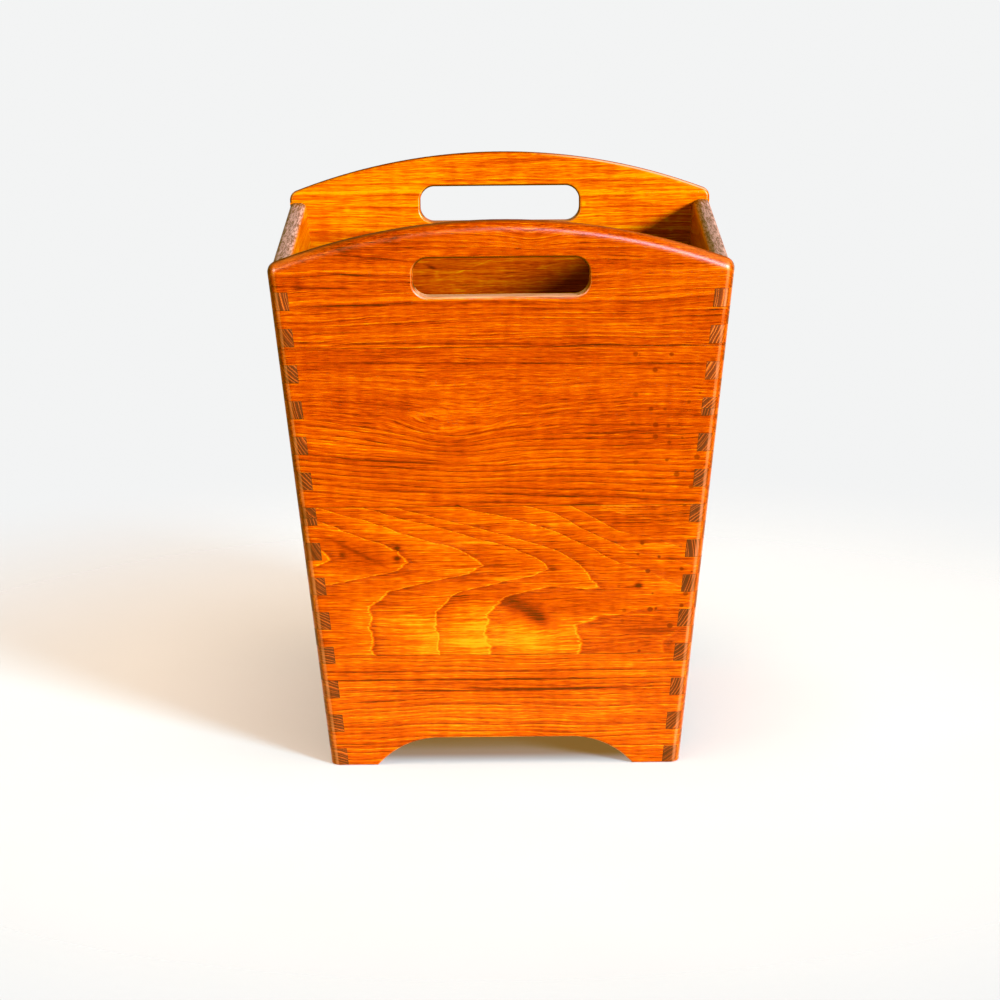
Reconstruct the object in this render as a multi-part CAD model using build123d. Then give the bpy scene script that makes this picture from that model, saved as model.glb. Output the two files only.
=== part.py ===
from build123d import *
import os
from math import sqrt, tan, radians, sin, cos, atan

# Square, splayed teak wastebasket. Millimetres.
# Origin: on the floor, in the middle between the four feet. +Z up, the front
# (a handle panel) faces -Y, the right side panel faces +X.

# ---------------------------------------------------------------- dimensions
HALF_BASE = 121.5        # outer half width at the floor, both ways
SPLAY = 0.0985           # outward lean of every panel per mm of height (5.6 deg)
THICK = 12.0             # panel thickness, square to its face
SIDE_TOP = 354.5         # height of the plain left and right panels
ARCH_TOP = 390.5         # height of the crown of the front and back panels
ARCH_R = 430.0           # radius of the crown
SHOULDER_R = 7.0         # rounding where the crown meets the panel's ends
CORNER_R = 6.8           # round-over along the outer corners and the crown
CROWN_IN_R = 2.5         # round-over along the crown's inner edge
SIDE_IN_R = 5.5          # round-over of a side panel's top, inside
SIDE_OUT_R = 3.2         # round-over of a side panel's top, outside
SLOT_HALF = 59.2         # hand slot: half length
SLOT_LOW = 338.8         # hand slot: lower edge
SLOT_HIGH = 365.4        # hand slot: upper edge
SLOT_R = 10.5            # hand slot: corner radius
SLOT_RIM_R = 2.0         # round-over of the slot's rims
FOOT_HIGH = 20.1         # height of the arch between the feet
FOOT_FLAT = 46.0         # half length of the arch's straight top
FOOT_R = 55.0            # radius of the arch's ends, down to 45 degrees
FOOT_EDGE_R = 1.6        # round-over around the floor edge and along the foot arches, outside
PITCH = 25.4             # finger joint: one finger and one gap
FINGER = 12.8            # finger joint: height of a side panel's finger
FINGERS = 14             # fingers of a side panel at each corner
FRONT_GLUE = (82.0, 190.6, 303.5)    # glue lines of the front panel
BACK_GLUE = (88.0, 200.0, 319.0)
LEFT_GLUE = (95.0, 183.0, 272.0)
RIGHT_GLUE = (71.0, 171.0, 259.0)
BASE_LOW = 27.5          # underside of the bottom
BASE_THICK = 8.0
BASE_TONGUE = 4.5        # how far the bottom goes into the panels
BASE_GLUE = (-46.0, 41.0)

LEAN = atan(SPLAY)
T_LEVEL = THICK / cos(LEAN)      # panel thickness measured level
BIG = 260.0
TALL = 420.0


def half(z):
    """Outer half width at height z."""
    return HALF_BASE + SPLAY * z


def inner(z):
    """Inner half width at height z."""
    return half(z) - T_LEVEL


def block(x0, x1, y0, y1, z0, z1):
    return Pos((x0 + x1) / 2, (y0 + y1) / 2, (z0 + z1) / 2) * Box(x1 - x0, y1 - y0, z1 - z0)


def prism_along_y(points, y0=-BIG, y1=BIG):
    """Solid with its outline in X and Z, between two values of Y."""
    outline = Polyline(*[(x, 0, z) for x, z in points], close=True)
    face = make_face(outline)
    solid = extrude(face, amount=y1 - y0, dir=(0, 1, 0))
    return Pos(0, y0, 0) * solid


# -------------------------------------------------------------- outline curves
def foot_points():
    """The arch between two feet, from the left foot to the right one."""
    cx, cz = FOOT_FLAT, FOOT_HIGH - FOOT_R
    end = (cx + FOOT_R * sin(radians(45)), cz + FOOT_R * cos(radians(45)))
    mid = (cx + FOOT_R * sin(radians(22.5)), cz + FOOT_R * cos(radians(22.5)))
    toe = (end[0] + end[1], 0.0)
    return toe, end, mid, (cx, FOOT_HIGH)


def crown_panel_face():
    """Outline of the front or back panel in X and Z, with its slot."""
    toe, end, mid, flat = foot_points()
    centre = ARCH_TOP - ARCH_R

    def v(x, z):
        return Vector(x, 0, z)

    # shoulder arc: tangent to the crown circle inside it and to the slanted end
    n = Vector(cos(LEAN), 0, -sin(LEAN))             # outward normal of the end
    inset = HALF_BASE * cos(LEAN) - SHOULDER_R       # n.p at the arc's centre
    reach = ARCH_R - SHOULDER_R
    # the centre lies on the line n.p = inset and at distance reach from the circle's centre
    along = Vector(sin(LEAN), 0, cos(LEAN))
    foot = n * inset
    rel = foot - v(0, centre)
    b = rel.dot(along)
    c = rel.dot(rel) - reach * reach
    s = -b + sqrt(b * b - c)
    sc = foot + along * s
    p_end = sc + n * SHOULDER_R
    to_crown = (sc - v(0, centre)).normalized()
    p_crown = sc + to_crown * SHOULDER_R
    p_mid = sc + ((n + to_crown) * 0.5).normalized() * SHOULDER_R

    def m(p):
        return Vector(-p.X, 0, p.Z)

    base = v(HALF_BASE, 0)
    edges = [
        Line(v(toe[0], 0), base),
        Line(base, p_end),
        ThreePointArc(p_end, p_mid, p_crown),
        ThreePointArc(p_crown, v(0, ARCH_TOP), m(p_crown)),
        ThreePointArc(m(p_crown), m(p_mid), m(p_end)),
        Line(m(p_end), m(base)),
        Line(m(base), v(-toe[0], 0)),
        Line(v(-toe[0], 0), v(-end[0], end[1])),
        ThreePointArc(v(-end[0], end[1]), v(-mid[0], mid[1]), v(-flat[0], flat[1])),
        Line(v(-flat[0], flat[1]), v(flat[0], flat[1])),
        ThreePointArc(v(flat[0], flat[1]), v(mid[0], mid[1]), v(end[0], end[1])),
        Line(v(end[0], end[1]), v(toe[0], 0)),
    ]
    return make_face(edges)


def side_panel_face():
    """Outline of a side panel in Y and Z."""
    toe, end, mid, flat = foot_points()

    def v(y, z):
        return Vector(0, y, z)

    h0, h1 = HALF_BASE, half(SIDE_TOP)
    edges = [
        Line(v(toe[0], 0), v(h0, 0)),
        Line(v(h0, 0), v(h1, SIDE_TOP)),
        Line(v(h1, SIDE_TOP), v(-h1, SIDE_TOP)),
        Line(v(-h1, SIDE_TOP), v(-h0, 0)),
        Line(v(-h0, 0), v(-toe[0], 0)),
        Line(v(-toe[0], 0), v(-end[0], end[1])),
        ThreePointArc(v(-end[0], end[1]), v(-mid[0], mid[1]), v(-flat[0], flat[1])),
        Line(v(-flat[0], flat[1]), v(flat[0], flat[1])),
        ThreePointArc(v(flat[0], flat[1]), v(mid[0], mid[1]), v(end[0], end[1])),
        Line(v(end[0], end[1]), v(toe[0], 0)),
    ]
    return make_face(edges)


def leaning_slab(axis):
    """The space between a panel's two leaning faces (the -Y or +X panel)."""
    z0, z1 = -10.0, TALL
    if axis == "y":
        pts = [(0, -half(z0), z0), (0, -half(z1), z1), (0, -inner(z1), z1), (0, -inner(z0), z0)]
        face = make_face(Polyline(*pts, close=True))
        return Pos(-BIG, 0, 0) * extrude(face, amount=2 * BIG, dir=(1, 0, 0))
    pts = [(half(z0), 0, z0), (half(z1), 0, z1), (inner(z1), 0, z1), (inner(z0), 0, z0)]
    face = make_face(Polyline(*pts, close=True))
    return Pos(0, -BIG, 0) * extrude(face, amount=2 * BIG, dir=(0, 1, 0))


def slot_cutter():
    outline = RectangleRounded(2 * SLOT_HALF, SLOT_HIGH - SLOT_LOW, SLOT_R)
    plane = Plane(origin=(0, 0, (SLOT_LOW + SLOT_HIGH) / 2), x_dir=(1, 0, 0), z_dir=(0, -1, 0))
    return extrude(plane * outline, amount=BIG, both=False)


def toe_x():
    """Half width of the arch at the floor."""
    return foot_points()[0][0]


# -------------------------------------------------------- the whole front panel
def on_plane(edge, fn, tol=0.02):
    return all(abs(fn(edge.position_at(t))) < tol for t in (0.0, 0.3, 0.5, 0.8, 1.0))


def front_blank():
    """Front panel over the full width, with every round-over, before its fingers."""
    sharp = extrude(crown_panel_face(), amount=BIG, dir=(0, -1, 0)) & leaning_slab("y")
    sharp = sharp.solids()[0]

    def f_out(p):
        return p.Y + half(p.Z)

    def f_in(p):
        return p.Y + inner(p.Z)

    outer_edges = [e for e in sharp.edges() if on_plane(e, f_out)]
    crown_end = [e for e in outer_edges
                 if e.center().Z > 100]
    rounded = sharp.fillet(CORNER_R, crown_end).solids()[0]
    floor_edges = [e for e in rounded.edges()
                   if (abs(e.center().Z) < 0.01 and all(abs(e.position_at(t).Z) < 0.01 for t in (0, 1))
                       and max(-e.center().Y, abs(e.center().X)) > HALF_BASE - 0.35 * CORNER_R)
                   or (on_plane(e, f_out) and abs(e.center().X) < toe_x() - 0.5 and e.center().Z < FOOT_HIGH + 0.5)]
    rounded = rounded.fillet(FOOT_EDGE_R, floor_edges).solids()[0]
    inner_top = [e for e in rounded.edges() if on_plane(e, f_in) and e.center().Z > 100]
    rounded_in = rounded.fillet(CROWN_IN_R, inner_top).solids()[0]

    def slotted(body):
        cut = (body - slot_cutter()).solids()[0]
        rim = [e for e in cut.edges()
               if (on_plane(e, f_out) or on_plane(e, f_in))
               and abs(e.center().X) < SLOT_HALF + 0.5 and SLOT_LOW - 0.5 < e.center().Z < SLOT_HIGH + 0.5]
        return cut.fillet(SLOT_RIM_R, rim).solids()[0]

    low = rounded & block(-BIG, BIG, -BIG, BIG, -5, SIDE_TOP - 25)
    mid = slotted(rounded) & block(-BIG, BIG, -BIG, BIG, SIDE_TOP - 25, SIDE_TOP)
    top = slotted(rounded_in) & block(-BIG, BIG, -BIG, BIG, SIDE_TOP, TALL)
    return low.solids()[0], mid.solids()[0], top.solids()[0]


def top_waste(face_x, way, radius):
    """What a round-over takes off one top edge of the right side panel.

    face_x gives the panel face's x at a height; way is +1 outside, -1 inside."""
    n = Vector(cos(LEAN) * way, 0, -sin(LEAN) * way)      # out of the face
    # centre of the round: radius below the top and radius inside the face
    zc = SIDE_TOP - radius
    xc = face_x(zc) - way * radius / cos(LEAN)
    c = Vector(xc, 0, zc)
    on_face = c + n * radius
    on_top = c + Vector(0, 0, radius)
    between = c + ((n + Vector(0, 0, 1)) * 0.5).normalized() * radius
    far = 6.0
    p_out = on_face + n * far
    p_up = on_top + Vector(0, 0, far)
    corner = Vector(p_out.X, 0, p_up.Z)
    face = make_face([
        ThreePointArc(on_face, between, on_top),
        Line(on_top, p_up), Line(p_up, corner), Line(corner, p_out), Line(p_out, on_face),
    ])
    return Pos(0, -BIG, 0) * extrude(face, amount=2 * BIG, dir=(0, 1, 0))


def right_blank():
    """Right side panel over the full depth, before its fingers."""
    slab = leaning_slab("x")
    body = (extrude(side_panel_face(), amount=BIG, dir=(1, 0, 0)) & slab).solids()[0]

    def s_out(p):
        return p.X - half(p.Z)

    def s_in(p):
        return p.X - inner(p.Z)

    ends = [e for e in body.edges() if on_plane(e, s_out)
            and abs(e.center().Y) > 100 and 100 < e.center().Z < 300]
    body = body.fillet(CORNER_R, ends).solids()[0]
    floor_edges = [e for e in body.edges()
                   if (abs(e.center().Z) < 0.01 and all(abs(e.position_at(t).Z) < 0.01 for t in (0, 1))
                       and max(e.center().X, abs(e.center().Y)) > HALF_BASE - 0.35 * CORNER_R)
                   or (on_plane(e, s_out) and abs(e.center().Y) < toe_x() - 0.5 and e.center().Z < FOOT_HIGH + 0.5)]
    body = body.fillet(FOOT_EDGE_R, floor_edges).solids()[0]
    body = body - top_waste(half, 1, SIDE_OUT_R) - top_waste(inner, -1, SIDE_IN_R)
    return body.solids()[0]


# ------------------------------------------------------------------- the fingers
def beyond_right(z_lo, z_hi, sign):
    """Level slab of the space outside a side panel's inner face (sign +1 right, -1 left)."""
    pts = [(sign * inner(z_lo), z_lo), (sign * BIG, z_lo), (sign * BIG, z_hi), (sign * inner(z_hi), z_hi)]
    return prism_along_y(pts)


def beyond_front(z_lo, z_hi, sign):
    """Level slab of the space outside the front's inner face (sign -1 front, +1 back)."""
    pts = [(0, sign * inner(z_lo), z_lo), (0, sign * BIG, z_lo), (0, sign * BIG, z_hi), (0, sign * inner(z_hi), z_hi)]
    face = make_face(Polyline(*pts, close=True))
    return Pos(-BIG, 0, 0) * extrude(face, amount=2 * BIG, dir=(1, 0, 0))


SIDE_FINGERS = [(k * PITCH, k * PITCH + FINGER) for k in range(FINGERS)]
SIDE_GAPS = [(k * PITCH + FINGER, (k + 1) * PITCH) for k in range(FINGERS - 1)]
SIDE_GAPS.append(((FINGERS - 1) * PITCH + FINGER, TALL))


def base_block():
    h = inner(BASE_LOW + BASE_THICK / 2) + BASE_TONGUE
    body = block(-h, h, -h, h, BASE_LOW, BASE_LOW + BASE_THICK)
    return body, h


def cut_front(body, z_lo, z_hi):
    """Take the side panels' fingers out of a piece of the front panel."""
    for lo, hi in SIDE_FINGERS:
        if hi <= z_lo + 1e-6 or lo >= z_hi - 1e-6:
            continue
        lo2 = lo if lo > z_lo else z_lo - 5
        hi2 = hi if hi < z_hi else z_hi + 5
        for sign in (1, -1):
            body = body - beyond_right(lo2, hi2, sign)
    return body


def cut_side(body, z_lo, z_hi):
    for lo, hi in SIDE_GAPS:
        if hi <= z_lo + 1e-6 or lo >= z_hi - 1e-6:
            continue
        lo2 = lo if lo > z_lo else z_lo - 5
        hi2 = hi if hi < z_hi else z_hi + 5
        for sign in (1, -1):
            body = body - beyond_front(lo2, hi2, sign)
    return body


def one(shape, name):
    solids = shape.solids()
    if len(solids) != 1:
        print("WARNING", name, "has", len(solids), "solids",
              [round(s.volume, 2) for s in solids])
    solids = sorted(solids, key=lambda s: -s.volume)
    return solids[0]


def build():
    parts = {}
    base, h_base = base_block()

    low, mid, top = front_blank()
    side = right_blank()

    def level(z0, z1):
        return block(-BIG, BIG, -BIG, BIG, z0, z1)

    # front and back panels
    for where, glue in (("front", FRONT_GLUE), ("back", BACK_GLUE)):
        names = ("foot", "middle", "upper", "handle")
        cuts = (-5.0,) + glue + (TALL,)
        for i, nm in enumerate(names):
            z0, z1 = cuts[i], cuts[i + 1]
            if nm == "handle":
                piece = (low & level(z0, z1)) + mid + top
                piece = one(piece, nm)
            else:
                piece = one(low & level(z0, z1), nm)
            piece = cut_front(piece, z0, z1)
            piece = piece - base
            name = where + "_" + nm + "_board"
            piece = one(piece, name)
            if where == "back":
                piece = Rot(0, 0, 180) * piece
            parts[name] = piece

    # left and right panels
    for where, glue in (("right", RIGHT_GLUE), ("left", LEFT_GLUE)):
        names = ("foot", "lower", "upper", "top")
        cuts = (-5.0,) + glue + (TALL,)
        for i, nm in enumerate(names):
            z0, z1 = cuts[i], cuts[i + 1]
            piece = one(side & level(z0, z1), nm)
            piece = cut_side(piece, z0, z1)
            piece = piece - base
            name = where + "_" + nm + "_board"
            piece = one(piece, name)
            if where == "left":
                piece = Rot(0, 0, 180) * piece
            parts[name] = piece

    # the bottom: three boards in the grooves
    cuts = (-h_base,) + BASE_GLUE + (h_base,)
    for i, nm in enumerate(("front", "middle", "rear")):
        piece = block(-h_base, h_base, cuts[i], cuts[i + 1], BASE_LOW, BASE_LOW + BASE_THICK)
        parts["base_" + nm + "_board"] = one(piece, nm)
    return parts


os.makedirs("parts", exist_ok=True)
PARTS = build()
for name, shape in PARTS.items():
    export_step(shape, "parts/" + name + ".step")
    bb = shape.bounding_box()
    print(name, round(shape.volume, 1), [round(v, 2) for v in (bb.min.X, bb.min.Y, bb.min.Z, bb.max.X, bb.max.Y, bb.max.Z)])
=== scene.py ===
import math

import bpy
from mathutils import Matrix, Vector

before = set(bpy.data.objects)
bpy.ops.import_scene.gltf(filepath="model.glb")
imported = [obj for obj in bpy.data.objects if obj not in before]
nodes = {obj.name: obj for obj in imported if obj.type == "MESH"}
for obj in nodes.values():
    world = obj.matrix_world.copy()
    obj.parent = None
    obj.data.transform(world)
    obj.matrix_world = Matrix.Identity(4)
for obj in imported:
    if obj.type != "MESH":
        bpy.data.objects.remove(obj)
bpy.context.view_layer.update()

# ---------------------------------------------------------------- the basket's own measures, in millimetres
HALF_BASE = 121.5  # half the width over the side panels at the floor
SPLAY = 0.0985  # how far each panel leans out for each millimetre of height
SKIN = 12.058  # a panel's thickness, measured level
PITCH = 25.4  # one finger and one gap
FINGER = 12.8
JOINTED = 343.0  # the finger joint ends here; the handle boards run to the corners above it


# ---------------------------------------------------------------- a short way to write shader trees
class Tree:
    def __init__(self, name):
        self.mat = bpy.data.materials.new(name)
        self.mat.use_nodes = True
        self.nt = self.mat.node_tree
        self.nt.nodes.clear()

    def add(self, kind, **settings):
        n = self.nt.nodes.new(kind)
        for key, value in settings.items():
            setattr(n, key, value)
        return n

    def put(self, socket, value):
        if hasattr(value, "is_output"):
            self.nt.links.new(value, socket)
        elif value is not None:
            socket.default_value = value

    def math(self, op, a, b=None, c=None, clamp=False):
        n = self.add("ShaderNodeMath", operation=op, use_clamp=clamp)
        for socket, value in zip(n.inputs, (a, b, c)):
            self.put(socket, value)
        return n.outputs[0]

    def plus(self, *terms):
        out = terms[0]
        for t in terms[1:]:
            out = self.math("ADD", out, t)
        return out

    def times(self, a, b):
        return self.math("MULTIPLY", a, b)

    def vec(self, x, y, z):
        n = self.add("ShaderNodeCombineXYZ")
        for socket, value in zip(n.inputs, (x, y, z)):
            self.put(socket, value)
        return n.outputs[0]

    def noise(self, at, scale, detail=2.0, rough=0.5):
        n = self.add("ShaderNodeTexNoise", noise_dimensions="3D")
        self.put(n.inputs["Vector"], at)
        self.put(n.inputs["Scale"], scale)
        self.put(n.inputs["Detail"], detail)
        self.put(n.inputs["Roughness"], rough)
        return n.outputs[0]

    def ramp(self, at, stops, interpolation="LINEAR"):
        n = self.add("ShaderNodeValToRGB")
        self.put(n.inputs[0], at)
        r = n.color_ramp
        r.interpolation = interpolation
        while len(r.elements) < len(stops):
            r.elements.new(0.5)
        for e, (p, c) in zip(r.elements, stops):
            e.position = p
            e.color = (c, c, c, 1) if isinstance(c, float) else (*c, 1)
        return n.outputs[0]

    def step(self, at, low, high, to_low=0.0, to_high=1.0, kind="SMOOTHSTEP"):
        n = self.add("ShaderNodeMapRange", interpolation_type=kind)
        n.clamp = True
        for socket, value in zip(n.inputs, (at, low, high, to_low, to_high)):
            self.put(socket, value)
        return n.outputs[0]

    def mix(self, how_much, a, b, blend="MIX"):
        n = self.add("ShaderNodeMix", data_type="RGBA", blend_type=blend)
        n.clamp_factor = True
        self.put(n.inputs[0], how_much)
        self.put(n.inputs[6], a if not isinstance(a, tuple) else (*a, 1))
        self.put(n.inputs[7], b if not isinstance(b, tuple) else (*b, 1))
        return n.outputs[2]

    def spot(self, u, v, at, size, lean=0.0):
        """A soft round or long mask: 1 at the point, falling away over size."""
        du = self.math("SUBTRACT", u, at[0])
        dv = self.math("SUBTRACT", v, at[1])
        if lean:
            dv = self.math("MULTIPLY_ADD", du, -lean, dv)
        du = self.times(du, 1 / size[0])
        dv = self.times(dv, 1 / size[1])
        d = self.plus(self.times(du, du), self.times(dv, dv))
        return self.math("EXPONENT", self.times(d, -1.0))


def srgb(r, g, b):
    def one(c):
        c /= 255
        return c / 12.92 if c <= 0.04045 else ((c + 0.055) / 1.055) ** 2.4

    return tuple(one(c) for c in (r, g, b))


# the oiled teak's tones, from its darkest pore lines to its palest parenchyma
TONES = [
    (0.00, srgb(74, 14, 0)),
    (0.20, srgb(124, 28, 0)),
    (0.38, srgb(161, 47, 0)),
    (0.52, srgb(178, 63, 0)),
    (0.68, srgb(192, 84, 1)),
    (0.84, srgb(200, 112, 4)),
    (1.00, srgb(206, 138, 20)),
]
END_TONES = [
    (0.00, srgb(40, 9, 2)),
    (0.30, srgb(82, 22, 5)),
    (0.55, srgb(122, 40, 10)),
    (0.78, srgb(176, 72, 18)),
    (1.00, srgb(216, 116, 40)),
]


# how far an arched ring has fallen back along the grain, for its height over or under its nose
ARCH = [(-60, 76), (-34, 78), (-20, 62), (-11, 35), (-5, 9), (0, 0), (8, 9), (15, 25), (24, 62), (31, 98), (42, 152), (60, 236)]


def teak(
    name,
    grain,
    pith=(0.0, 400.0),
    slope=(0.0, 0.0),
    ring=3.2,
    seed=1.0,
    tone=0.0,
    contrast=1.0,
    nose=None,
    feather=0.10,
    line=0.06,
    uneven_by=1.1,
    bands=1.0,
    peak=1.0,
    trough=0.12,
    least=0.22,
    plain=None,
    oil=0.0,
    dents=(),
    marks=(),
    joins=(),
    specks=0.0,
    sheen_painted_tops=False,
    crown=0.0,
    inside="",
):
    """One board's oiled teak, cut from a log of growth rings round a pith that runs along the grain.
    pith is its place across the board and through it at the board's middle, and slope how it drifts along the grain.
    nose, for a board sawn through the top of the cone, gives its height, which way it points, where its rings lie and how far they drift."""
    t = Tree(name)
    coords = t.add("ShaderNodeTexCoord")
    split = t.add("ShaderNodeSeparateXYZ")
    scaled = t.add("ShaderNodeVectorMath", operation="SCALE")
    t.put(scaled.inputs[0], coords.outputs["Object"])
    scaled.inputs["Scale"].default_value = 1000.0
    t.put(split.inputs[0], scaled.outputs[0])
    x, y, z = split.outputs
    # u runs along the grain, v across the board, w through it; a panel's w counts from its own leaning outer face
    if grain == "B":
        u, v, w = x, y, z
    else:
        u, v, level = (x, z, y) if grain == "X" else (y, z, x)
        skin = t.math("MULTIPLY_ADD", z, -SPLAY, t.math("ABSOLUTE", level))
        w = t.math("SUBTRACT", skin, HALF_BASE)
    facing = t.add("ShaderNodeSeparateXYZ")
    t.put(facing.inputs[0], coords.outputs["Normal"])
    nx, ny, nz = facing.outputs
    along = ny if grain == "Y" else nx
    end = t.step(t.math("ABSOLUTE", along), 0.62, 0.9)

    # the log wanders: slow bends, then small ripples, always longer along the grain than across it
    off = seed * 17.31
    wander = t.noise(
        t.vec(
            t.math("MULTIPLY_ADD", u, 1 / 190, off),
            t.math("MULTIPLY_ADD", v, 1 / 52, off * 0.7),
            t.times(w, 1 / 60),
        ),
        1.0,
        2.0,
        0.45,
    )
    ripple = t.noise(
        t.vec(
            t.math("MULTIPLY_ADD", u, 1 / 46, off * 1.3),
            t.math("MULTIPLY_ADD", v, 1 / 10, off),
            t.times(w, 1 / 12),
        ),
        1.0,
        3.0,
        0.55,
    )
    bent = t.plus(
        v,
        t.math("MULTIPLY_ADD", wander, 15.0, -7.5),
        t.math("MULTIPLY_ADD", ripple, 3.4, -1.7),
    )
    for place, size, depth in dents:
        bent = t.plus(bent, t.times(t.spot(u, v, place, size), depth))

    if nose:
        height, way, rings, wide = nose[:4]
        drift = t.noise(
            t.vec(t.math("MULTIPLY_ADD", u, 1 / 50, off), t.times(v, 1 / 12), t.times(w, 1 / 14)),
            1.0,
            3.0,
            0.6,
        )
        rise = t.plus(
            t.math("MULTIPLY_ADD", u, 0.07, t.math("SUBTRACT", bent, height)),
            t.step(u, 25.0, 85.0, 0.0, 14.0),
        )
        swept = t.ramp(
            t.math("MULTIPLY_ADD", rise, 1 / 120, 0.5),
            [((r + 60) / 120, d / 240) for r, d in ARCH],
        )
        place = t.plus(
            t.times(u, way),
            t.times(swept, 240.0),
            t.math("MULTIPLY_ADD", drift, wide, -0.5 * wide),
            t.times(w, 9.0),
        )
        steps = len(rings) - 1
        low, high = rings[0], rings[-1]
        phase = t.ramp(
            t.math("MULTIPLY_ADD", place, 1 / (high - low), -low / (high - low)),
            [((r - low) / (high - low), i / steps) for i, r in enumerate(rings)],
        )
        phase = t.math("MULTIPLY_ADD", phase, float(steps), 0.001)
    else:
        across = t.math("MULTIPLY_ADD", u, -slope[0], t.math("SUBTRACT", bent, pith[0]))
        through = t.math("MULTIPLY_ADD", u, -slope[1], t.math("SUBTRACT", w, pith[1]))
        far = t.math("SQRT", t.plus(t.times(across, across), t.times(through, through)))
        phase = t.times(far, 1 / ring)
    streak = t.noise(
        t.vec(
            t.math("MULTIPLY_ADD", u, 1 / 60, off),
            t.times(bent, 0.95),
            t.times(w, 0.95),
        ),
        1.0,
        3.0,
        0.68,
    )
    fine = t.noise(
        t.vec(
            t.math("MULTIPLY_ADD", u, 1 / 9.0, off),
            t.times(bent, 3.2),
            t.times(w, 3.2),
        ),
        1.0,
        2.0,
        0.6,
    )
    # no two rings are as wide, and their edges feather along the grain
    uneven = t.add("ShaderNodeTexNoise", noise_dimensions="1D")
    t.put(uneven.inputs["W"], t.math("MULTIPLY_ADD", phase, 0.75, off))
    uneven.inputs["Scale"].default_value = 1.0
    uneven.inputs["Detail"].default_value = 0.0
    phase = t.plus(
        phase,
        t.math("MULTIPLY_ADD", uneven.outputs[0], uneven_by, -0.5 * uneven_by),
        t.math("MULTIPLY_ADD", streak, feather, -0.5 * feather),
        t.math("MULTIPLY_ADD", fine, 0.5 * feather, -0.25 * feather),
    )
    part = t.math("FRACT", phase)
    count = t.math("FLOOR", phase)
    own = t.add("ShaderNodeTexWhiteNoise", noise_dimensions="1D")
    t.put(own.inputs[0], t.plus(count, off))
    own = own.outputs[0]

    # within a ring: a pale line, the dark band of large pores, then ever denser wood
    profile = t.ramp(
        part,
        [
            (0.0, 0.62),
            (line * 0.3, peak),
            (line, peak - 0.08),
            (line * 2.4, trough),
            (line * 2.4 + 0.12, 0.34 + 0.5 * (trough - 0.12)),
            (0.60, 0.52),
            (0.94, 0.62),
            (1.0, 0.62),
        ],
    )
    strong = t.math("MULTIPLY_ADD", t.times(own, own), 1.47 - least, least)
    strong = t.times(strong, contrast)
    banded = t.times(t.math("SUBTRACT", profile, 0.5), strong)
    if plain:
        banded = t.times(banded, t.step(v, plain[0], plain[1], 1.0, 0.25))
    if nose and len(nose) > 4:
        # the figure runs out into plain wood
        banded = t.times(banded, t.step(u, *nose[4]))
    cloud = t.noise(
        t.vec(
            t.math("MULTIPLY_ADD", u, 1 / 95, off * 2.1),
            t.times(v, 1 / 26),
            t.times(w, 1 / 26),
        ),
        1.0,
        2.0,
        0.5,
    )
    mottle = t.noise(
        t.vec(
            t.math("MULTIPLY_ADD", u, 1 / 7.0, off * 0.4),
            t.times(v, 1 / 20),
            t.times(w, 1 / 20),
        ),
        1.0,
        1.0,
        0.5,
    )
    shade = t.plus(
        0.5 + tone,
        t.times(banded, 0.85 * bands),
        t.math("MULTIPLY_ADD", streak, 1.30 * contrast, -0.65 * contrast),
        t.math("MULTIPLY_ADD", fine, 1.26, -0.63),
        t.math("MULTIPLY_ADD", cloud, 0.44, -0.22),
        t.math("MULTIPLY_ADD", mottle, 0.24, -0.12),
    )
    for place, size, lean, amount, streaked in marks:
        m = t.spot(u, v, place, size, lean)
        if streaked:
            m = t.times(m, t.step(streak, 0.40, 0.62, 0.25, 1.0))
        shade = t.plus(shade, t.times(m, amount))

    # the vessels, cut lengthwise as short dark scratches and across as dots, thickest just inside each ring
    pore = t.noise(
        t.vec(
            t.math("MULTIPLY_ADD", u, 1 / 2.6, off),
            t.times(bent, 4.2),
            t.times(w, 4.2),
        ),
        1.0,
        1.0,
        0.5,
    )
    early = t.step(part, 0.42, 0.10, 0.35, 1.0)
    pore = t.times(t.step(pore, 0.60, 0.70), early)

    if inside:
        # painted light: inner faces turn a paler gold towards the rim, where light falls into the basket
        inward = {
            "front": ny,
            "back": t.times(ny, -1.0),
            "left": nx,
            "right": t.times(nx, -1.0),
        }[inside]
        inward = t.step(inward, 0.3, 0.9)
        shade = t.plus(shade, t.times(inward, t.step(z, 300.0, 336.0, 0.0, 0.21)))

    colour = t.ramp(shade, TONES)
    colour = t.mix(t.times(pore, 0.45), colour, srgb(84, 18, 0))

    if specks:
        cell = t.add("ShaderNodeTexVoronoi", feature="F1", voronoi_dimensions="2D")
        t.put(cell.inputs["Vector"], t.vec(t.math("MULTIPLY_ADD", u, 0.9, off), v, 0.0))
        cell.inputs["Scale"].default_value = 1 / 12.0
        cell.inputs["Randomness"].default_value = 1.0
        pick = t.add("ShaderNodeSeparateColor")
        t.put(pick.inputs[0], cell.outputs["Color"])
        size = t.math("MULTIPLY_ADD", pick.outputs[0], 0.11, 0.03)
        dot = t.step(t.math("SUBTRACT", cell.outputs["Distance"], size), 0.06, -0.03)
        where = t.step(u, 60.0, 100.0, 0.0, specks)
        dot = t.times(t.times(dot, where), t.step(pick.outputs[1], 0.25, 0.55))
        colour = t.mix(t.times(dot, 0.92), colour, srgb(104, 20, 2))

    pale_corner_band = None
    if grain in "XY":
        # the outer rounded corners are a little paler, in a band part way round each rounding
        turn_in = t.math("MINIMUM", t.math("ABSOLUTE", nx), t.math("ABSOLUTE", ny))
        pale_corner_band = t.times(t.step(turn_in, 0.14, 0.32), t.step(turn_in, 0.60, 0.44))
        pale_corner_band = t.times(pale_corner_band, t.math("MULTIPLY_ADD", cloud, 1.2, -0.1))

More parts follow.
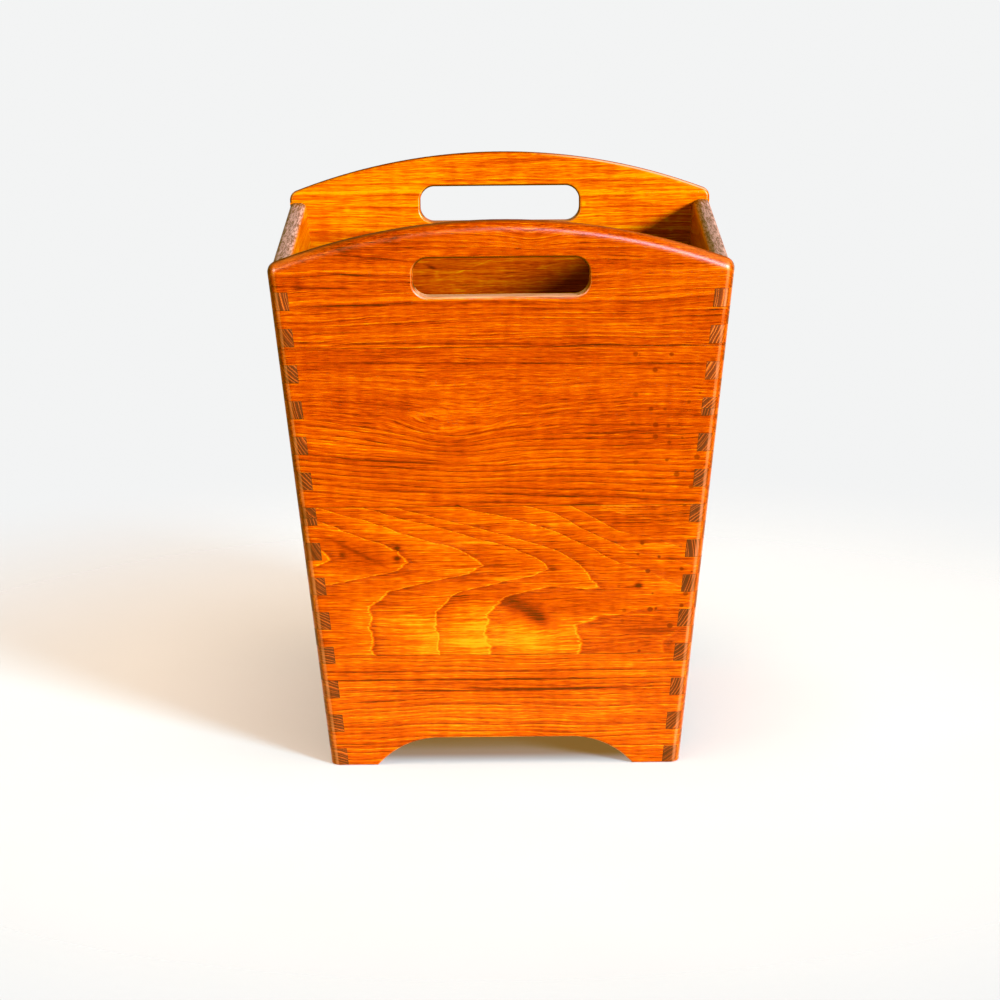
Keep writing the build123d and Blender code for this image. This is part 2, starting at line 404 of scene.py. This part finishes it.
    # cut ends drink more oil and go dark
    cut = t.ramp(part, [(0.0, 0.55), (0.12, 1.0), (0.26, 0.38), (0.55, 0.10), (0.85, 0.26), (1.0, 0.55)])
    ends = t.ramp(
        t.plus(
            0.50 + tone * 0.5 + oil,
            t.math("MULTIPLY_ADD", cut, 0.70, -0.35),
            t.math("MULTIPLY_ADD", fine, 0.6, -0.3),
            t.math("MULTIPLY_ADD", cloud, 0.4, -0.2),
        ),
        END_TONES,
    )
    ends = t.mix(t.times(pore, 0.6), ends, srgb(40, 10, 2))
    colour = t.mix(end, colour, ends)
    if pale_corner_band is not None:
        colour = t.mix(t.times(pale_corner_band, 0.55), colour, srgb(232, 142, 92))

    if sheen_painted_tops:
        # painted sheen: the tops of the side panels are painted a pale grey-pink that stands for the bright wall's
        # reflection at a grazing angle, crossed by dark squiggly grain
        sheen_top = t.step(nz, 0.35, 0.85)
        sheen_top = t.times(sheen_top, t.step(z, 335.0, 345.0))
        worm = t.noise(
            t.vec(
                t.times(u, 1 / 26.0),
                t.math("MULTIPLY_ADD", w, 0.46, t.times(u, 0.02)),
                0.0,
            ),
            1.0,
            3.0,
            0.6,
        )
        pale = t.ramp(
            worm,
            [
                (0.30, srgb(222, 184, 166)),
                (0.44, srgb(206, 168, 152)),
                (0.495, srgb(34, 18, 14)),
                (0.55, srgb(198, 160, 144)),
                (0.72, srgb(230, 196, 180)),
            ],
        )
        colour = t.mix(t.times(sheen_top, 0.86), colour, pale)
        # painted shade: darker brown where each top meets the back panel
        painted_shade_nook = t.times(sheen_top, t.step(u, 126.0, 140.0))
        colour = t.mix(t.times(painted_shade_nook, 0.65), colour, srgb(96, 46, 26))

    if inside:
        # painted shade: inner faces below the rim are darkened and browned where the walls shade them
        painted_inner_shade = t.times(inward, t.step(z, 346.0, 315.0))
        colour = t.mix(painted_inner_shade, colour, t.mix(1.0, colour, (0.64, 0.74, 0.50), "MULTIPLY"))

    if crown:
        # on the crown: painted shade on its narrow top, a painted highlight along its inner edge, a grip sill paler
        # from wear and painted sheen, and painted shade on the slot's downward-facing top
        # painted shade: the crown's narrow top is darkened, most on its left half, which faces away from the light
        top = t.times(t.step(nz, 0.80, 0.97), t.step(z, 356.0, 360.0))
        colour = t.mix(t.times(top, t.step(x, 70.0, -10.0, 0.15, 0.75)), colour, srgb(84, 22, 4))
        # painted highlight: a pale line along the right half of the crown's inner edge
        painted_rim_highlight = t.times(t.step(nz, 0.45, 0.75), t.step(t.math("MULTIPLY", ny, crown), 0.12, 0.40))
        painted_rim_highlight = t.times(t.times(painted_rim_highlight, t.step(z, 356.0, 360.0)), t.step(x, 10.0, 80.0))
        colour = t.mix(t.times(painted_rim_highlight, 0.7), colour, srgb(232, 176, 138))
        # the grip's sill is paler, partly from wear and partly painted sheen
        sill = t.times(t.step(nz, 0.30, 0.80), t.step(z, 346.0, 343.0))
        worn_and_sheen_sill = t.mix(t.step(streak, 0.34, 0.66), srgb(178, 110, 66), srgb(246, 188, 142))
        colour = t.mix(t.times(sill, 0.85 if crown > 0 else 0.15), colour, worn_and_sheen_sill)
        # painted shade: the slot's downward-facing top is darkened
        under = t.times(t.step(nz, -0.14, -0.48), t.step(z, 352.0, 357.0))
        colour = t.mix(t.times(under, 0.88), colour, srgb(60, 14, 3))

    # glue lines and the shadow line round every finger
    lines = []
    for height in joins:
        level = v if grain != "B" else y
        d = t.math("ABSOLUTE", t.math("SUBTRACT", level, height))
        lines.append(t.step(d, 0.30, 0.10, 0.0, 0.75))
    if grain in "XY":
        beside = y if grain == "X" else x
        turn = t.times(t.math("FRACT", t.times(z, 1 / PITCH)), PITCH)
        d = t.math(
            "MINIMUM",
            t.math("MINIMUM", turn, t.math("SUBTRACT", PITCH, turn)),
            t.math("ABSOLUTE", t.math("SUBTRACT", turn, FINGER)),
        )
        flank = t.math(
            "SUBTRACT",
            t.math("ABSOLUTE", beside),
            t.math("MULTIPLY_ADD", z, SPLAY, HALF_BASE - SKIN),
        )
        d = t.math("MINIMUM", d, t.math("ABSOLUTE", flank))
        rim = t.step(d, 0.42, 0.12, 0.0, 0.8)
        rim = t.times(rim, end)
        rim = t.times(rim, t.step(z, JOINTED + 0.6, JOINTED))
        lines.append(rim)
    for m in lines:
        colour = t.mix(m, colour, srgb(46, 12, 3))

    rough = t.plus(
        0.34,
        t.math("MULTIPLY_ADD", fine, 0.16, -0.08),
        t.math("MULTIPLY_ADD", cloud, 0.14, -0.07),
        t.times(pore, 0.42),
        t.times(end, 0.14),
    )
    if sheen_painted_tops:
        rough = t.plus(rough, t.times(sheen_top, 0.15))
    if crown:
        rough = t.plus(rough, t.times(top, 0.45))
    relief = t.plus(
        t.times(pore, -0.36),
        t.times(fine, 0.22),
        t.times(streak, 0.30),
    )
    for m in lines:
        relief = t.plus(relief, t.times(m, -0.6))
    bump = t.add("ShaderNodeBump")
    bump.inputs["Strength"].default_value = 0.45
    bump.inputs["Distance"].default_value = 0.00016
    t.put(bump.inputs["Height"], relief)

    shader = t.add("ShaderNodeBsdfPrincipled")
    t.put(shader.inputs["Base Color"], colour)
    t.put(shader.inputs["Roughness"], rough)
    t.put(shader.inputs["Normal"], bump.outputs[0])
    shader.inputs["IOR"].default_value = 1.47
    shader.inputs["Specular IOR Level"].default_value = 0.5
    shader.inputs["Specular Tint"].default_value = (1.0, 0.72, 0.58, 1.0)
    out = t.add("ShaderNodeOutputMaterial")
    t.nt.links.new(shader.outputs[0], out.inputs[0])
    return t.mat


# ---------------------------------------------------------------- the nineteen boards
FRONT_JOINS = (82.0, 190.6, 303.5)
BACK_JOINS = (88.0, 200.0, 319.0)
LEFT_JOINS = (95.0, 183.0, 272.0)
RIGHT_JOINS = (71.0, 171.0, 259.0)
BASE_JOINS = (-46.0, 41.0)

boards = {
    "front_handle_board": dict(
        grain="X", pith=(560, -97), slope=(0.02, 0.03), ring=4.2, seed=1.7, tone=-0.02, contrast=0.85,
        joins=FRONT_JOINS[2:], inside="front", crown=1.0,
        dents=[((20, 380), (16, 9), 3.5)],
        marks=[
            ((-20, 306), (170, 0.9), -0.012, -0.34, False),
            ((-103, 355), (16, 0.7), -0.08, -0.50, False),
            ((-123, 346), (30, 0.8), -0.03, -0.40, False),
            ((-100, 333.5), (32, 0.8), 0.0, -0.36, False),
            ((-81, 365.8), (19, 0.7), -0.085, -0.46, False),
            ((-105, 371), (3.5, 2.4), -0.3, -0.35, True),
            ((-71, 379.5), (6, 2.0), 0.3, -0.35, True),
            ((-88, 376), (34, 8), 0.12, -0.12, False),
            ((12, 372), (3, 0.8), 0.25, -0.30, False),
            ((39, 337.6), (14, 1.0), -0.06, -0.40, False),
            ((100, 353.5), (45, 0.7), 0.0, 0.22, False),
            ((118, 360.6), (20, 0.7), 0.0, -0.26, False),
            ((30, 330), (25, 1.0), -0.02, -0.24, False),
        ],
    ),
    "front_upper_board": dict(
        grain="X", pith=(60, 180), slope=(-0.03, 0.02), ring=3.4, seed=4.2, tone=-0.03, contrast=0.92, bands=1.15, peak=0.70, trough=0.02, least=0.35, plain=(244.0, 264.0),
        joins=FRONT_JOINS[1:], inside="front", specks=0.8,
        dents=[((-38, 238), (30, 20), 5.0), ((-32, 232), (88, 34), 8.0)],
        marks=[
            ((20, 292), (175, 0.8), -0.010, -0.30, False),
            ((-50, 257), (13, 2.2), 0.05, 0.30, False),
            ((-56, 248), (16, 5), -0.35, -0.16, True),
            ((-90, 224), (52, 1.1), -0.05, -0.28, False),
            ((56, 191.6), (17, 1.6), 0.10, -0.36, False),
            ((-31, 190.5), (1.8, 1.6), 0.0, -0.5, False),
        ],
    ),
    "front_middle_board": dict(
        grain="X", nose=(146.0, 1.0, (-300, -240, -185, -118, -65, -16, 30, 64, 128, 186, 240, 300), 16.0, (66.0, 94.0, 1.0, 0.38)), feather=0.14, line=0.020, uneven_by=0.0, bands=0.95, trough=0.28, least=0.62, ring=3.4, seed=7.9, tone=0.0, contrast=1.2,
        joins=FRONT_JOINS[:2], inside="front", specks=1.0,
        marks=[
            ((15, 115), (16, 7), -0.50, -0.72, True),
            ((24, 109), (8, 5), -0.4, -0.52, True),
            ((-22, 99), (52, 15), 0.0, 0.26, False),
            ((-20, 88), (44, 8), 0.0, 0.24, True),
            ((20, 92), (18, 9), 0.0, 0.20, False),
            ((-66, 108), (14, 8), 0.0, 0.12, True),
            ((-104, 160), (26, 1.6), -0.55, -0.30, True),
            ((-18, 137), (26, 1.0), -0.10, -0.30, False),
            ((-97, 163), (24, 8), -0.22, -0.22, True),
            ((-100, 148), (26, 12), 0.0, -0.12, True),
            ((-72.7, 160.7), (2.0, 1.8), 0.0, -0.6, False),
            ((-72.9, 153.3), (2.4, 2.2), 0.0, -0.6, False),
            ((-110.5, 156.3), (2.6, 2.0), 0.0, -0.5, False),
            ((92.7, 132.1), (2.6, 2.2), 0.0, -0.7, False),
            ((-21, 134), (12, 2.2), -0.1, -0.26, True),
            ((90, 164), (36, 0.9), 0.0, -0.30, False),
            ((104, 184), (34, 8), 0.0, -0.30, False),
            ((106, 96), (24, 12), 0.0, -0.26, False),
        ],
    ),
    "front_foot_board": dict(
        grain="X", pith=(-420, -38), slope=(0.004, 0.006), ring=3.4, seed=2.6, tone=0.02, contrast=0.95, bands=1.3,
        joins=FRONT_JOINS[:1], inside="front",
        marks=[
            ((-30, 55.6), (110, 0.9), 0.0, -0.50, False),
            ((45, 56.4), (40, 1.3), 0.004, -0.50, False),
            ((-20, 63.8), (120, 0.8), 0.0, -0.50, False),
            ((10, 70.2), (120, 0.7), 0.004, -0.36, False),
            ((-88, 48.0), (12, 1.0), 0.05, -0.45, False),
        ],
    ),
    "back_handle_board": dict(
        grain="X", pith=(520, 260), slope=(0.03, -0.02), ring=3.8, seed=11.3, tone=0.02, contrast=0.9,
        joins=BACK_JOINS[2:], inside="back", crown=-1.0,
        marks=[
            ((62.5, 351.8), (1.7, 1.5), 0.0, 0.50, False),
            ((-70, 364), (2.2, 1.4), 0.0, 0.42, False),
            ((-114, 349), (2.4, 2.0), 0.0, 0.34, False),
            ((124.5, 339.5), (1.7, 1.4), 0.0, 0.34, False),
            ((127.8, 331.6), (1.7, 1.4), 0.0, 0.30, False),
            ((-132, 334), (10, 7), -0.1, -0.30, True),
            ((-128, 346), (12, 4), 0.1, -0.20, True),
        ],
    ),
    "back_upper_board": dict(
        grain="X", pith=(330, 310), slope=(-0.16, 0.03), ring=5.4, seed=12.9, tone=-0.08, contrast=0.9, bands=1.3,
        joins=BACK_JOINS[1:], inside="back", dents=[((40, 240), (30, 22), -7.0)],
        marks=[((-25, 304), (19, 0.5), 0.37, 0.30, True), ((24, 303), (32, 0.5), 0.25, 0.22, True), ((-52, 306), (3.5, 1.3), -0.3, -0.45, False), ((-48, 300), (2.0, 3.0), 0.0, 0.18, False)],
    ),
    "back_middle_board": dict(
        grain="X", nose=(142.0, -1.0, (-300, -236, -180, -130, -76, -30, 10, 62, 104, 160, 228, 300), 24.0), feather=0.14, line=0.024, uneven_by=0.0, bands=1.4, ring=3.6, seed=14.1, tone=0.0, contrast=1.1,
        joins=BACK_JOINS[:2], inside="back",
    ),
    "back_foot_board": dict(
        grain="X", pith=(-330, -65), slope=(0.02, 0.01), ring=3.0, seed=15.4, tone=-0.02, contrast=1.0,
        joins=BACK_JOINS[:1], inside="back",
    ),
    "left_top_board": dict(
        grain="Y", pith=(352, -59), slope=(0.04, 0.02), ring=2.4, seed=21.0, tone=-0.01, contrast=1.0, oil=0.03,
        joins=LEFT_JOINS[2:], inside="left", sheen_painted_tops=True,
    ),
    "left_upper_board": dict(
        grain="Y", pith=(268, -78), slope=(-0.03, 0.03), ring=2.2, seed=22.0, tone=0.0, contrast=1.0,
        joins=LEFT_JOINS[1:], inside="left",
    ),
    "left_lower_board": dict(
        grain="Y", pith=(196, -57), slope=(0.05, -0.01), ring=2.1, seed=23.0, tone=0.01, contrast=1.0,
        joins=LEFT_JOINS[:2], inside="left",
    ),
    "left_foot_board": dict(
        grain="Y", pith=(-60, 20), slope=(0.02, 0.02), ring=2.0, seed=24.0, tone=-0.02, contrast=1.0,
        joins=LEFT_JOINS[:1], inside="left",
    ),
    "right_top_board": dict(
        grain="Y", pith=(345, -85), slope=(0.03, 0.02), ring=2.4, seed=31.0, tone=0.0, contrast=1.0, oil=0.14,
        joins=RIGHT_JOINS[2:], inside="right", sheen_painted_tops=True,
    ),
    "right_upper_board": dict(
        grain="Y", pith=(262, -64), slope=(-0.04, 0.02), ring=2.0, seed=32.0, tone=-0.01, contrast=1.0,
        joins=RIGHT_JOINS[1:], inside="right",
    ),
    "right_lower_board": dict(
        grain="Y", pith=(150, -64), slope=(0.03, 0.01), ring=2.1, seed=33.0, tone=0.02, contrast=1.0,
        joins=RIGHT_JOINS[:2], inside="right",
    ),
    "right_foot_board": dict(
        grain="Y", pith=(74, -44), slope=(0.02, 0.01), ring=2.0, seed=34.0, tone=0.0, contrast=1.0,
        joins=RIGHT_JOINS[:1], inside="right",
    ),
    "base_front_board": dict(
        grain="B", pith=(-120, -220), slope=(0.03, 0.02), ring=3.2, seed=41.0, tone=0.0, contrast=1.0,
        joins=BASE_JOINS[:1],
    ),
    "base_middle_board": dict(
        grain="B", pith=(10, -160), slope=(0.02, 0.03), ring=3.4, seed=42.0, tone=0.03, contrast=1.0,
        joins=BASE_JOINS,
    ),
    "base_rear_board": dict(
        grain="B", pith=(150, 240), slope=(0.02, 0.02), ring=3.0, seed=43.0, tone=-0.02, contrast=1.0,
        joins=BASE_JOINS[1:],
    ),
}

for name, how in boards.items():
    o = nodes[name]
    made = teak("teak_" + name, **how)
    if not o.data.materials:
        o.data.materials.append(made)
    for i in range(len(o.data.materials)):
        o.data.materials[i] = made

# ---------------------------------------------------------------- floor
# a round pale table top that melts into the backdrop
floor_mesh = bpy.data.meshes.new("floor")
reach, sides = 1.3, 96
floor_mesh.from_pydata(
    [
        (reach * math.cos(2 * math.pi * i / sides), reach * math.sin(2 * math.pi * i / sides), 0.0)
        for i in range(sides)
    ],
    [],
    [tuple(range(sides))],
)
floor = bpy.data.objects.new("floor", floor_mesh)
scene = bpy.context.scene
scene.collection.objects.link(floor)
f = Tree("pale_floor")
fc = f.add("ShaderNodeTexCoord")
mottled = f.noise(fc.outputs["Object"], 5.0, 3.0, 0.5)
skin = f.mix(mottled, srgb(161, 160, 158), srgb(166, 165, 164))
# painted shadow: the floor is darker and browner under the basket's footprint, in place of its contact shadow
spot = f.add("ShaderNodeSeparateXYZ")
f.put(spot.inputs[0], fc.outputs["Object"])
aside = f.math("MAXIMUM", f.math("ABSOLUTE", spot.outputs[0]), f.math("ABSOLUTE", spot.outputs[1]))
skin = f.mix(f.step(aside, 0.1195, 0.094), skin, (0.54, 0.35, 0.24), "MULTIPLY")
fs = f.add("ShaderNodeBsdfPrincipled")
f.put(fs.inputs["Base Color"], skin)
fs.inputs["Roughness"].default_value = 0.85
fs.inputs["Specular IOR Level"].default_value = 0.1
centred = f.add("ShaderNodeVectorMath", operation="LENGTH")
f.put(centred.inputs[0], fc.outputs["Object"])
f.put(fs.inputs["Alpha"], f.step(centred.outputs["Value"], 0.80, 0.26))
fo = f.add("ShaderNodeOutputMaterial")
f.nt.links.new(fs.outputs[0], fo.inputs[0])
floor_mesh.materials.append(f.mat)

# ---------------------------------------------------------------- light
world = bpy.data.worlds.new("studio")
scene.world = world
world.use_nodes = True
wt = world.node_tree
wt.nodes.clear()


def sky(kind, **values):
    n = wt.nodes.new(kind)
    for key, value in values.items():
        n.inputs[key].default_value = value
    return n


# a white wall stands behind the table, and the rest of the room is dim
where = sky("ShaderNodeTexCoord")
parts = sky("ShaderNodeSeparateXYZ")
wt.links.new(where.outputs["Generated"], parts.inputs[0])
behind = sky("ShaderNodeMapRange")
behind.interpolation_type = "SMOOTHSTEP"
wt.links.new(parts.outputs["Y"], behind.inputs["Value"])
behind.inputs["From Min"].default_value = -0.15
behind.inputs["From Max"].default_value = 0.45
low = sky("ShaderNodeMapRange")
low.interpolation_type = "SMOOTHSTEP"
wt.links.new(parts.outputs["Z"], low.inputs["Value"])
low.inputs["From Min"].default_value = 0.75
low.inputs["From Max"].default_value = 0.35
wall_here = wt.nodes.new("ShaderNodeMath")
wall_here.operation = "MULTIPLY"
wt.links.new(behind.outputs[0], wall_here.inputs[0])
wt.links.new(low.outputs[0], wall_here.inputs[1])
level = wt.nodes.new("ShaderNodeMapRange")
wt.links.new(wall_here.outputs[0], level.inputs["Value"])
level.inputs["To Min"].default_value = 0.16
level.inputs["To Max"].default_value = 0.62
room = sky("ShaderNodeBackground", Color=(1.0, 0.74, 0.58, 1))
wt.links.new(level.outputs[0], room.inputs["Strength"])
wall = sky("ShaderNodeBackground", Color=(0.896, 0.903, 0.903, 1))
seen = sky("ShaderNodeLightPath")
both = sky("ShaderNodeMixShader")
wt.links.new(seen.outputs["Is Camera Ray"], both.inputs[0])
wt.links.new(room.outputs[0], both.inputs[1])
wt.links.new(wall.outputs[0], both.inputs[2])
out = sky("ShaderNodeOutputWorld")
wt.links.new(both.outputs[0], out.inputs[0])


def sun(name, toward, strength, spread, colour):
    data = bpy.data.lights.new(name, "SUN")
    data.energy = strength
    data.angle = math.radians(spread)
    data.color = colour
    o = bpy.data.objects.new(name, data)
    scene.collection.objects.link(o)
    o.rotation_mode = "QUATERNION"
    o.rotation_quaternion = Vector(toward).normalized().to_track_quat("Z", "Y")
    return o


def softbox(name, toward, distance, size, power, colour, aim=(0, 0, 0.2)):
    data = bpy.data.lights.new(name, "AREA")
    data.shape = "RECTANGLE"
    data.size, data.size_y = size
    data.energy = power
    data.color = colour
    o = bpy.data.objects.new(name, data)
    scene.collection.objects.link(o)
    d = Vector(toward).normalized()
    o.location = Vector(aim) + d * distance
    o.rotation_mode = "QUATERNION"
    o.rotation_quaternion = d.to_track_quat("Z", "Y")
    return o


key_way = (0.644, -0.703, 0.302)
key = sun("key", key_way, 7.7, 10.0, (1.0, 0.97, 0.93))
key_floor = sun("key_floor", key_way, 11.4, 14.0, (0.46, 0.77, 1.0))
fill = sun("fill", (-0.66, -0.72, 0.24), 0.40, 25.0, (1.0, 0.98, 0.97))
# two windows that only show as sheen on the rounded edges
window = softbox("window", (0.435, -0.819, 0.375), 2.8, (1.9, 0.9), 155.0, (0.86, 1.0, 1.5))
window.visible_diffuse = False
far_window = softbox("far_window", (-0.613, -0.689, 0.387), 2.8, (0.9, 0.8), 80.0, (1.0, 0.99, 0.98))
far_window.visible_diffuse = False
table_lamp = sun("table_lamp", (0.0, -0.25, 1.0), 3.4, 40.0, (1.0, 0.82, 0.66))
table_glow = sun("table_glow", (0.0, -0.25, 1.0), 3.8, 40.0, (1.0, 0.87, 0.72))
table_glow.data.use_shadow = False
only_floor = bpy.data.collections.new("lit_by_table_lamp")
only_floor.objects.link(floor)
table_lamp.light_linking.receiver_collection = only_floor
table_glow.light_linking.receiver_collection = only_floor
key_floor.light_linking.receiver_collection = only_floor
only_basket = bpy.data.collections.new("lit_by_key")
for o in nodes.values():
    only_basket.objects.link(o)
key.light_linking.receiver_collection = only_basket
well_lamp = sun("well_lamp", (0.0, 0.0, 1.0), 1.1, 24.0, (1.0, 0.93, 0.85))
deep = bpy.data.collections.new("lit_by_well_lamp")
for name, o in nodes.items():
    if name.startswith("base_") or name.endswith(("_foot_board", "_lower_board", "_middle_board")):
        if not name.startswith("front_"):
            deep.objects.link(o)
well_lamp.light_linking.receiver_collection = deep
faces_windows = bpy.data.collections.new("lit_by_windows")
for name, o in nodes.items():
    if not name.startswith("back_"):
        faces_windows.objects.link(o)
window.light_linking.receiver_collection = faces_windows
far_window.light_linking.receiver_collection = faces_windows

# ---------------------------------------------------------------- camera
cam = bpy.data.cameras.new("camera")
cam.sensor_width = 36.0
cam.lens = 135.79
cam.clip_start = 0.05
cam.clip_end = 60.0
eye = bpy.data.objects.new("camera", cam)
scene.collection.objects.link(eye)
down, roll, yaw = (math.radians(a) for a in (13.8409, -0.5341, 0.0323))
F = Vector((math.sin(yaw) * math.cos(down), math.cos(yaw) * math.cos(down), -math.sin(down)))
R = Vector((math.cos(yaw), -math.sin(yaw), 0))
U = R.cross(F)
R2 = R * math.cos(roll) + U * math.sin(roll)
U2 = -R * math.sin(roll) + U * math.cos(roll)
eye.matrix_world = Matrix.Translation((-0.00343, -2.64065, 0.81093)) @ Matrix(
    (R2, U2, -F)
).transposed().to_4x4()
scene.camera = eye

scene.view_settings.view_transform = "Standard"
scene.view_settings.look = "None"
scene.view_settings.exposure = 0.0
scene.view_settings.gamma = 1.0
scene.view_settings.use_curve_mapping = True
blue = scene.view_settings.curve_mapping.curves[2].points
blue.new(0.022, 0.0)
blue.new(0.20, 0.19)
scene.view_settings.curve_mapping.update()
